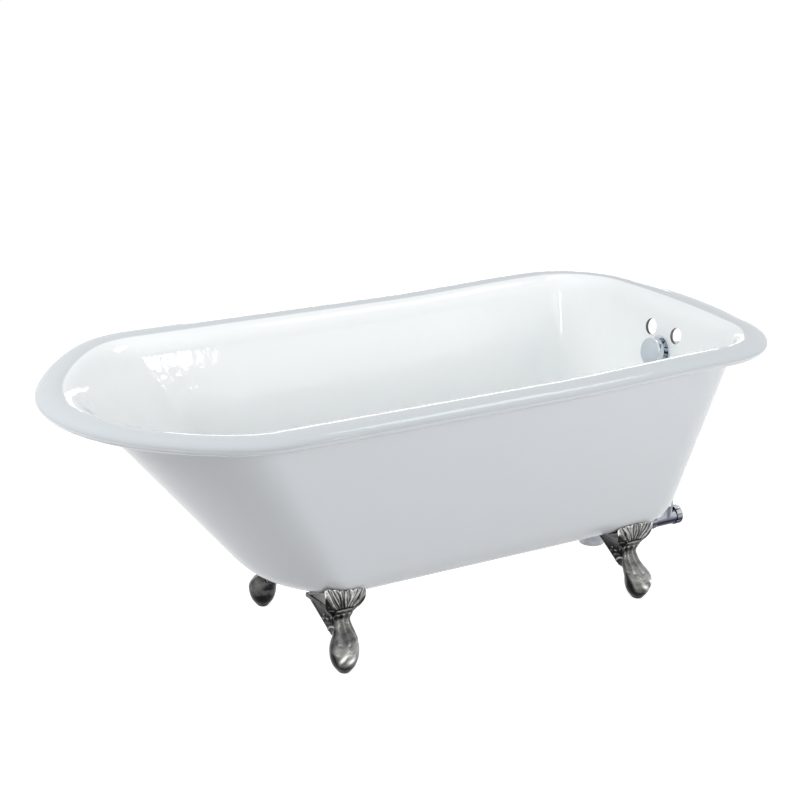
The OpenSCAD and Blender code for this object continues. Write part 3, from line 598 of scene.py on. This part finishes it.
def bath_shell():
    """The casting with its holes: enamel inside and over the roll, paint outside, bare iron in the holes."""
    outside = outside_rings()
    rim, inside = rim_and_inside_rings()
    rings = np.array(outside + rim + inside)
    bm = bmesh.new()
    # Rows of the outside and the rim are marked for the rim's greyer painted shade in the enamel
    before_inside = np.arange(len(rings)) < len(outside) + len(rim)
    grid_surface(bm, rings, closed=True, layer="rim", values=before_inside[:, None])
    close_ends(bm)
    bmesh.ops.recalc_face_normals(bm, faces=bm.faces)
    row_of = bm.verts.layers.int["row"]
    for face in bm.faces:
        if all(v[row_of] < len(outside) for v in face.verts):
            face.material_index = 1
    shell = finished(bm, "bath_shell", "bath", [enamel, outer_paint, bare_iron], CASTING_SHARP)
    cut_holes(shell, iron_slot=2, enamel_slot=0)
    smooth(shell.data, CASTING_SHARP)
    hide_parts("tub_shell")


bath_shell()


# Sizes of a foot in millimetres: x across, y outwards from the leaf's back, z up
BALL_R = 29.5
BALL_Z = 48
ANKLE_Z = 101
ANKLE_HALF = 17.5
LEAF_TOP = 166
LEAF_HALF = 47
LEAF_T = 6
LEAF_BACK = 165.67
LEAF_CURL = 3
LEAF_SHOULDER = 5
LEAF_NOTCH = 2.6
CLAW_OUT = 10
CLAW_LEAN = 8
HEAD_LIFT = 14
FLAT_TOP_Z = 130
FLAT_TOP_T = 9
FLAT_TOP_HALF = 34
FLAT_TOP_TAPER = 6
FLAT_TOP_REACH = 101.67
FLAT_TOP_FRONT = -8
FLAT_TOP_EDGE = 1.2
WEB_T = 5
WEB_LOW = 1.35 * BALL_Z
WEB_HIGH = 157
HEAD_LUG_IN = 0.535
TAP_LUG_IN = 0.275

# The leaf spreads like a fan from a point below it
FAN_ROOT = 107.5
FAN_SPREAD = 0.8
FAN_LEAST = 14
LEAF_FROM = 127
LEAF_ROOT_Z = 128.5
LEAF_FADE = 6
FLUTE_DEPTH = 2.4
FLUTES = 3

# Where the ankle's strands and the toes run, as shares of the half width, and how high they stand
STRANDS = (-0.78, -0.4, 0.06, 0.5)
STRAND_HEIGHT = 1.7
TOES = (-0.72, -0.26, 0.24)
TOE_HEIGHT = 0.9

# Each knuckle's share of the half width, height, run per share, half width, half height and size
KNUCKLES = ((0.34, 38, 90, 0.11, 10, 1.0), (-0.02, 32, 80, 0.17, 8, 0.9))
KNUCKLE_HEIGHT = 2.0

# Each curl's height and place along a web in millimetres, slant and size
CURLS = ((-1, 5, 0.8, 1), (3, 12, -0.5, 0.8), (-3, 17, 0.3, 1), (6, 25, 0.9, 0.9), (0, 31, -0.7, 1),
         (11, 33, 0.5, 0.7))

# Columns in a quarter of the foot's skin, rows between two sections, rows round the leaf's edge and in a web
FOOT_QUARTER = 48
SECTION_STEPS = 12
EDGE_STEPS = 4
WEB_STEPS = 64

# Height, front, back, half width and blend from round to leaf
FOOT_SECTIONS = np.array([
    (0, 0.47 * BALL_R, -0.42 * BALL_R, 0.40 * BALL_R, 0),
    (0.12 * BALL_Z, 0.63 * BALL_R, -0.57 * BALL_R, 0.56 * BALL_R, 0),
    (0.34 * BALL_Z, 0.85 * BALL_R, -0.80 * BALL_R, 0.80 * BALL_R, 0),
    (0.65 * BALL_Z, 0.98 * BALL_R, -0.95 * BALL_R, 0.96 * BALL_R, 0),
    (BALL_Z, 1.01 * BALL_R, -BALL_R, BALL_R, 0),
    (1.25 * BALL_Z, 0.88 * BALL_R, -0.97 * BALL_R, 0.93 * BALL_R, 0),
    (1.50 * BALL_Z, 0.58 * BALL_R, -0.86 * BALL_R, 0.77 * BALL_R, 0),
    (lerp(1.5 * BALL_Z, ANKLE_Z, 0.5), 0.05 * BALL_R, -22.5, ANKLE_HALF + 1.5, 0),
    (ANKLE_Z, -7, -22, ANKLE_HALF, 0.1),
    (lerp(ANKLE_Z, LEAF_TOP, 0.22), -3.5, -17, lerp(ANKLE_HALF, LEAF_HALF, 0.34), 0.5),
    (lerp(ANKLE_Z, LEAF_TOP, 0.40), 1, -10, lerp(ANKLE_HALF, LEAF_HALF, 0.64), 0.9),
    (lerp(ANKLE_Z, LEAF_TOP, 0.60), LEAF_T - 1.5, -4, lerp(ANKLE_HALF, LEAF_HALF, 0.86), 1),
    (lerp(ANKLE_Z, LEAF_TOP, 0.80), LEAF_T + 1, 0, lerp(ANKLE_HALF, LEAF_HALF, 0.95), 1),
    (LEAF_TOP, LEAF_T, 0.5, LEAF_HALF, 1),
])


def along_sections(rows, u):
    """A smooth curve through the rows, at each u."""
    k = np.clip(np.floor(u).astype(int), 0, len(rows) - 2)
    f = (u - k)[:, None]
    a, b = rows[np.maximum(k - 1, 0)], rows[k]
    c, d = rows[k + 1], rows[np.minimum(k + 2, len(rows) - 1)]
    return (2 * b + (c - a) * f + (2 * a - 5 * b + 4 * c - d) * f ** 2
            + (3 * b - 3 * c + d - a) * f ** 3) / 2


def claw_share(z):
    """Share of the claw's step out and sideways from the ankle."""
    return 1 - ease((z / BALL_Z - 0.9) / 0.8)


def fan_place(x, z):
    """Where a point lies across the leaf: -1 and 1 are its sides."""
    return x / (FAN_SPREAD * np.maximum(z - FAN_ROOT, FAN_LEAST))


def leaf_relief(t, z):
    """The leaf's uneven flutes between raised sides; past them the surface drops."""
    on_leaf = np.abs(t) < 1
    uneven = t + 0.05 * np.sin(9 * t + z / 9)
    flutes = -FLUTE_DEPTH * np.abs(np.sin(FLUTES * math.pi * uneven)) * on_leaf
    flutes = flutes * (1 + 0.35 * np.sin(5 * t + 1))
    ripples = 0.5 * np.sin(13 * math.pi * uneven) * on_leaf
    border = 1.2 * hump(np.abs(t) - 1, 0.1)
    beyond = -3.0 * ease((np.abs(t) - 1.12) / 0.2)
    return (flutes + ripples + border + beyond) * ease((z - LEAF_FROM) / LEAF_FADE)


def ankle_relief(s, x, z):
    """Strands up the ankle, a hollow on each side of it and a groove below the leaf."""
    hollow = -2.4 * ease((np.abs(x) - 17) / 5) * between(z, 108, 131, 8)
    root = -1.8 * hump(z - LEAF_ROOT_Z, 2.4) * (1 - ease((np.abs(x) - 15) / 6))
    drawn_in = lerp(1, 0.85, ease((z - 70) / 50))
    strands = STRAND_HEIGHT * sum(hump(s - c * drawn_in, 0.1) for c in STRANDS)
    return hollow + root + strands * between(z, 60, 119, 5)


def claw_knuckles(s, z):
    return sum(size * hump(s - place + (z - height) / run, wide) * hump(z - height, tall)
               for place, height, run, wide, tall, size in KNUCKLES)


def toe_relief(s, z):
    """Slanted toes with knuckles."""
    slant = s + (z - 50) / 95
    toes = TOE_HEIGHT * sum(hump(slant - c, 0.12) for c in TOES) * between(z, 12, 84, 26)
    return toes + KNUCKLE_HEIGHT * claw_knuckles(s, z)


def claw_relief(s, x, z):
    """How far the front stands proud of the plain foot. s runs from side to side, x and z are millimetres."""
    return leaf_relief(fan_place(x, z), z) + ankle_relief(s, x, z) + toe_relief(s, z)


def claw_painted_light(s, x, z):
    """Painted light on the plate: painted highlights above 0 and painted shade below 0."""
    t = np.abs(fan_place(x, z))
    # The leaf's edge and the knuckles are painted bright as painted highlights; beside the leaf, the claw's
    # sides, the low sides, the sole and the groove at the leaf's root are painted dark as painted shade
    leaf_edge = 0.04 * hump(t - 0.97, 0.07) * ease((z - LEAF_FROM) / LEAF_FADE)
    beside_leaf = -0.14 * ease((t - 1.12) / 0.2) * ease((z - 110) / 10)
    sides = -0.30 * ease((np.abs(s) - 0.62) / 0.38) * (z < ANKLE_Z)
    low_sides = -0.35 * ease((np.abs(s) - 0.5) / 0.3) * ease((56 - z) / 22)
    sole = -0.42 * ease((24 - z) / 18)
    root = -0.25 * hump(z - LEAF_ROOT_Z, 2.6)
    return leaf_edge + beside_leaf + sides + low_sides + sole + root + 0.34 * claw_knuckles(s, z)


def claw_and_leaf(bm, lift):
    """Claw, ankle and leaf in one skin, with the leaf's top edge rounded over. Its outer corner is lifted to
    follow the bath's underside."""
    n = 4 * FOOT_QUARTER
    k = np.arange(n)
    side = np.where(k <= n // 2, 1, -1)
    k = np.where(k <= n // 2, k, n - k)
    front = k <= FOOT_QUARTER
    q = np.where(front, k, n // 2 - k) / FOOT_QUARTER
    u = np.linspace(0, len(FOOT_SECTIONS) - 1, (len(FOOT_SECTIONS) - 1) * SECTION_STEPS + 1)
    rows = along_sections(FOOT_SECTIONS, u)
    rows = np.vstack([rows] + [rows[-1:]] * EDGE_STEPS)
    z, front_y, back_y, half, fan = (rows[:, c:c + 1] for c in range(5))
    fan = np.clip(fan, 0, 1)
    turn = np.concatenate([np.zeros(len(u)), np.linspace(0, math.pi / 2, EDGE_STEPS + 1)[1:]])[:, None]
    middle = (front_y + back_y) / 2
    s = side * q
    across = np.sin(q * math.pi / 2)
    ahead = np.cos(q * math.pi / 2)
    plain_x = side * half * lerp(across, q, fan)
    deep = lerp(ahead, (1 - 0.3 * q ** 2) * np.sqrt(1 - q ** 14), fan)
    relief = np.where(front, claw_relief(s, plain_x, z), 0) * np.cos(turn)
    relief = relief * np.minimum(1, 2 * deep + (1 - fan))
    deep = deep * np.cos(turn)
    lip = ease((z - ANKLE_Z) / (LEAF_TOP - ANKLE_Z))
    lobes = LEAF_SHOULDER * q ** 2 + LEAF_NOTCH * (1 - np.abs(np.sin(FLUTES * math.pi * s)) ** 0.6)
    x = plain_x + relief * side * across * (1 - fan) + CLAW_LEAN * claw_share(z)
    y = (middle + (np.where(front, front_y, back_y) - middle) * deep + CLAW_OUT * claw_share(z)
         + relief * lerp(ahead, 1, fan) - LEAF_CURL * fan * q ** 2)
    lifted = lift * ease(s) * ease((z - LEAF_FROM) / (LEAF_TOP - LEAF_FROM))
    height = z + LEAF_T / 2 * np.sin(turn) - lip * lobes + lifted
    # The back of the skin is painted dark as painted shade; the front takes the claw's painted light
    painted_light = np.where(front, claw_painted_light(s, plain_x, z), -0.22)
    made = grid_surface(bm, np.dstack([x, y, height]), closed=True, layer="painted_light", values=painted_light)
    bmesh.ops.remove_doubles(bm, verts=[v for v in made if v.is_valid], dist=0.01)
    close_ends(bm)


def web_surface(lift):
    """Points of a web's face, for the side where x is above 0. a runs up it and b from its back edge to its
    front."""
    a = np.linspace(0, 1, WEB_STEPS)[:, None]
    b = np.linspace(0, 1, WEB_STEPS)[None, :]
    back_z = lerp(WEB_LOW, FLAT_TOP_Z - 2, a)
    front_z = lerp(WEB_LOW, WEB_HIGH, a)
    front_y, back_y, half, fan = (
        np.interp(front_z, FOOT_SECTIONS[:, 0], FOOT_SECTIONS[:, c]) for c in (1, 2, 3, 4))
    leaf_y = (front_y + back_y) / 2 - LEAF_CURL * fan
    web_y = lerp(-0.9 * BALL_R, -FLAT_TOP_REACH + 1, a)
    lifted = lift * ease((a - 0.3) / 0.7)
    x = bend(lerp(ANKLE_HALF, FLAT_TOP_HALF - 1, a),
             lerp(ANKLE_HALF, (FLAT_TOP_HALF + LEAF_HALF) / 2, a) - 2, half - 2, b)
    y = bend(web_y, lerp((web_y + leaf_y) / 2, -40, a), leaf_y, b)
    z = bend(back_z, lerp((back_z + front_z) / 2, FLAT_TOP_Z - 2, a) + 1.7 * lifted, front_z + lifted, b)
    return a, b, x, y, z


def foot_web(bm, side, lift):
    """A side web from the ankle up to the leaf's edge and back to the flat top: a smooth panel with a few
    curls above a ledge. The panel is painted dark as painted shade, and the curls, the ledge and the top edge
    are painted bright as painted highlights."""
    a, b, x, y, z = web_surface(lift)
    up, along = (a - 0.38) * 70, b * 40
    curls = sum(size * hump(up - cu + (along - ca) * lean, 1.6) * hump(along - ca - (up - cu) * lean, 3.4)
                for cu, ca, lean, size in CURLS)
    curls = np.clip(curls, 0, 1)
    ledge = hump(a - 0.11 - 0.12 * b, 0.022)
    panel = between(a, 0.24, 0.98, 0.06) * between(b, 0.02, 1.2, 0.05)
    relief = 2.2 * curls + 1.6 * ledge - 1.6 * panel
    # Painted light: the web is painted dark as painted shade, its curls, ledge and top edge bright as painted
    # highlights
    painted_light = -0.33 + 0.42 * curls + 0.34 * ledge + 0.12 * hump(a - 1, 0.03)
    points = np.dstack([side * (x - 0.4 + relief), y, z])
    made = grid_surface(bm, points, closed=False, layer="painted_light", values=painted_light)
    faces = list(dict.fromkeys(f for v in made for f in v.link_faces))
    bmesh.ops.recalc_face_normals(bm, faces=faces)
    if side * sum(f.normal.x for f in faces) < 0:
        bmesh.ops.reverse_faces(bm, faces=faces)
    bmesh.ops.solidify(bm, geom=faces, thickness=WEB_T)


def foot_flat_top(bm):
    made = bmesh.ops.create_cube(bm, size=1)["verts"]
    for v in made:
        at_back = v.co.y < 0
        v.co.x *= 2 * (FLAT_TOP_HALF if at_back else FLAT_TOP_HALF - FLAT_TOP_TAPER)
        v.co.y = -FLAT_TOP_REACH if at_back else FLAT_TOP_FRONT
        v.co.z = FLAT_TOP_Z + (v.co.z - 0.5) * FLAT_TOP_T
    edges = list(dict.fromkeys(e for v in made for e in v.link_edges))
    bmesh.ops.bevel(bm, geom=edges, offset=FLAT_TOP_EDGE, segments=3, profile=0.5, affect="EDGES",
                    material=-1)


def neighbours(v):
    return [e.other_vert(v) for e in v.link_edges]


def store_relief(bm):
    """The finish's level at each point, from 0 for dark hollows to 1 for bright ridges: how far the point
    stands out from its neighbours, made even over a few passes, with the painted light added. The dark
    hollows are partly tarnish and partly painted shade; the bright ridges are partly rubbed plate and partly
    painted highlights."""
    gain, most, passes, kept, share = 3.6, 0.5, 4, 0.4, 1.05
    layer = bm.verts.layers.float.new("relief")
    for v in bm.verts:
        near = sum((other.co for other in neighbours(v)), Vector()) / len(v.link_edges)
        v[layer] = min(max(v.normal.dot(v.co - near) * gain, -most), most)
    for _ in range(passes):
        level = {v: sum(other[layer] for other in neighbours(v)) / len(v.link_edges) for v in bm.verts}
        for v in bm.verts:
            v[layer] = kept * v[layer] + (1 - kept) * level[v]
    painted_light_of = bm.verts.layers.float["painted_light"]
    for v in bm.verts:
        v[layer] = min(max(0.5 + share * v[layer] + v[painted_light_of], 0), 1)


def claw_foot(name, x, end, side):
    """One cast foot, bolted under the bath: end is 1 at the tap end and -1 at the head, side 1 on the left
    and -1 on the right. The claws lean towards the ends."""
    # The flat top takes one fixed level of the finish, darker than the middle of its range
    flat_top_level = 0.3
    bm = bmesh.new()
    lift = HEAD_LIFT if end < 0 else 0
    claw_and_leaf(bm, lift)
    foot_web(bm, 1, lift)
    foot_web(bm, -1, 0)
    bmesh.ops.recalc_face_normals(bm, faces=bm.faces)
    store_relief(bm)
    with_relief = set(bm.verts)
    foot_flat_top(bm)
    layer = bm.verts.layers.float["relief"]
    for v in bm.verts:
        if v not in with_relief:
            v[layer] = flat_top_level
    bmesh.ops.scale(bm, verts=bm.verts, vec=(0.001 * end, 0.001 * side, 0.001))
    bmesh.ops.translate(bm, verts=bm.verts, vec=(x, 0.001 * side * LEAF_BACK, 0))
    bmesh.ops.recalc_face_normals(bm, faces=bm.faces)
    foot = finished(bm, name, "bath", [plated_iron], FOOT_SHARP)
    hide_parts(name.replace("claw_foot", "foot"))


for place, x, end in (("head", -LENGTH / 2 + HEAD_LUG_IN, -1), ("tap", LENGTH / 2 - TAP_LUG_IN, 1)):
    for hand, side in (("left", 1), ("right", -1)):
        claw_foot(f"claw_foot_{place}_{hand}", x, end, side)


# CAD pieces that keep their own shape; the plated ones are shown by smoothed copies
PIPES = ("waste_tube", "tee_inlet_nut", "waste_tee", "outlet_nut")
record = frame["record"]
slot_of = {p["node"]: p["material_slot"] for p in record["subparts"]}
body_of = {n: body for body, members in record["behaviour"]["bodies"].items() for n in members}
for node_name, node in frame["nodes"].items():
    slot = slot_of[node_name]
    if slot == "chrome":
        finish = finishes["pipe_chrome" if node_name in PIPES else "chrome"]
        bm = bmesh.new()
        bm.from_mesh(node.data)
        bmesh.ops.remove_doubles(bm, verts=bm.verts, dist=1e-6)
        plated = finished(bm, f"{node_name}_plated", body_of[node_name], [finish], PLATED_SHARP)
        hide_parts(node_name)
    else:
        node.data.materials.clear()
        node.data.materials.append(finishes[slot])
        smooth(node.data, CAD_SHARP)


# Floor, light and camera
def seen_directly(nodes, links):
    """1 for what the camera or a reflection sees, 0 for light that only bounces."""
    rays = nodes.new("ShaderNodeLightPath").outputs
    return calculate(nodes, links, "MAXIMUM", rays["Is Camera Ray"], rays["Is Glossy Ray"])


def floor_material():
    """White to the camera and to reflections but for the bath's shadow, pale to light that bounces off it."""
    material, nodes, links, shader = new_material("floor")
    feed(links, (0.52, 0.52, 0.52), shader.inputs["Base Color"])
    shader.inputs["Roughness"].default_value = 1.0
    shader.inputs["Specular IOR Level"].default_value = 0.0
    glow = nodes.new("ShaderNodeEmission")
    feed(links, (1.0, 1.0, 1.0), glow.inputs["Color"])
    strength = calculate(nodes, links, "MULTIPLY", seen_directly(nodes, links), 0.9)
    links.new(strength, glow.inputs["Strength"])
    both = nodes.new("ShaderNodeAddShader")
    links.new(shader.outputs["BSDF"], both.inputs[0])
    links.new(glow.outputs["Emission"], both.inputs[1])
    links.new(both.outputs["Shader"], nodes["Material Output"].inputs["Surface"])
    return material


def lay_floor(half_size=30):
    bm = bmesh.new()
    bmesh.ops.create_grid(bm, x_segments=1, y_segments=1, size=half_size)
    floor = add_object("floor", mesh_of(bm, "floor", [floor_material()]))


def fill_world():
    """Soft even light; the camera and reflections see plain white."""
    world = bpy.data.worlds.new("studio")
    world.use_nodes = True
    bpy.context.scene.world = world
    nodes, links = world.node_tree.nodes, world.node_tree.links
    light = nodes["Background"]
    feed(links, (0.90, 0.95, 1.0), light.inputs["Color"])
    light.inputs["Strength"].default_value = 0.22
    white = nodes.new("ShaderNodeBackground")
    feed(links, (1.0, 1.0, 1.0), white.inputs["Color"])
    white.inputs["Strength"].default_value = 1.0
    mix = nodes.new("ShaderNodeMixShader")
    links.new(seen_directly(nodes, links), mix.inputs["Fac"])
    links.new(light.outputs["Background"], mix.inputs[1])
    links.new(white.outputs["Background"], mix.inputs[2])
    links.new(mix.outputs["Shader"], nodes["World Output"].inputs["Surface"])


# Lamps: name, place, size, power and what each one is aimed at
BATH_MIDDLE = (0, 0, 0.3)
TAP_WALL = (0.66, 0.0, 0.45)
SOFTBOXES = (
    ("overhead", (0.5, 0.0, 3.2), (3.0, 2.0), 28, BATH_MIDDLE),
    ("front_left", (-3.0, -3.2, 2.0), (2.0, 2.0), 9, BATH_MIDDLE),
    ("front", (0.8, -4.2, 1.8), (3.0, 1.5), 33, BATH_MIDDLE),
    ("front_right", (2.4, -3.4, 1.2), (2.0, 1.6), 44, BATH_MIDDLE),
    ("into_basin", (-2.6, 0.3, 2.0), (1.4, 1.0), 46, TAP_WALL),
)
# These are seen in the enamel and the plate as well
WINDOWS = (
    ("window_front", (1.03, -2.84, 1.57), (0.10, 0.34), 2.2, BATH_MIDDLE),
    ("window_right", (1.9, -3.2, 1.45), (1.2, 0.5), 1.6, BATH_MIDDLE),
    ("window_top", (1.6, 0.3, 3.2), (0.9, 0.9), 7, BATH_MIDDLE),
    ("window_far", (2.2, 3.4, 1.02), (2.2, 0.55), 8, BATH_MIDDLE),
)


def add_lamp(name, place, size, power, target, reflected):
    light = bpy.data.lights.new(name, "AREA")
    light.shape = "RECTANGLE"
    light.size, light.size_y = size
    light.energy = power
    lamp = add_object(name, light)
    lamp.location = place
    lamp.rotation_euler = (Vector(target) - Vector(place)).to_track_quat("-Z", "Y").to_euler()
    lamp.visible_camera = False
    lamp.visible_glossy = reflected


# Place in metres, turns in degrees and focal length in pixels of the camera that was fitted to the photograph
CAMERA_PLACE = (-1.8602, -3.0240, 1.6751)
CAMERA_YAW = 31.4569
CAMERA_PITCH = 18.6799
CAMERA_ROLL = 1.1994
FOCAL_PX = 1842.31
FRAME_PX = 800
SENSOR = 36.0


def set_camera():
    yaw, pitch, roll = (math.radians(a) for a in (CAMERA_YAW, CAMERA_PITCH, CAMERA_ROLL))
    ahead = Vector((math.sin(yaw) * math.cos(pitch), math.cos(yaw) * math.cos(pitch), -math.sin(pitch)))
    level = ahead.cross(Vector((0, 0, 1))).normalized()
    above = level.cross(ahead)
    right = level * math.cos(roll) + above * math.sin(roll)
    up = above * math.cos(roll) - level * math.sin(roll)
    data = bpy.data.cameras.new("camera")
    data.sensor_width = SENSOR
    data.lens = FOCAL_PX / FRAME_PX * SENSOR
    data.clip_end = 100
    camera = add_object("camera", data)
    turned = Matrix((right, up, -ahead)).transposed().to_4x4()
    camera.matrix_world = Matrix.Translation(CAMERA_PLACE) @ turned
    bpy.context.scene.camera = camera


lay_floor()
fill_world()
for lamps, reflected in ((SOFTBOXES, False), (WINDOWS, True)):
    for lamp in lamps:
        add_lamp(*lamp, reflected)
set_camera()
bpy.context.scene.view_settings.view_transform = "Standard"
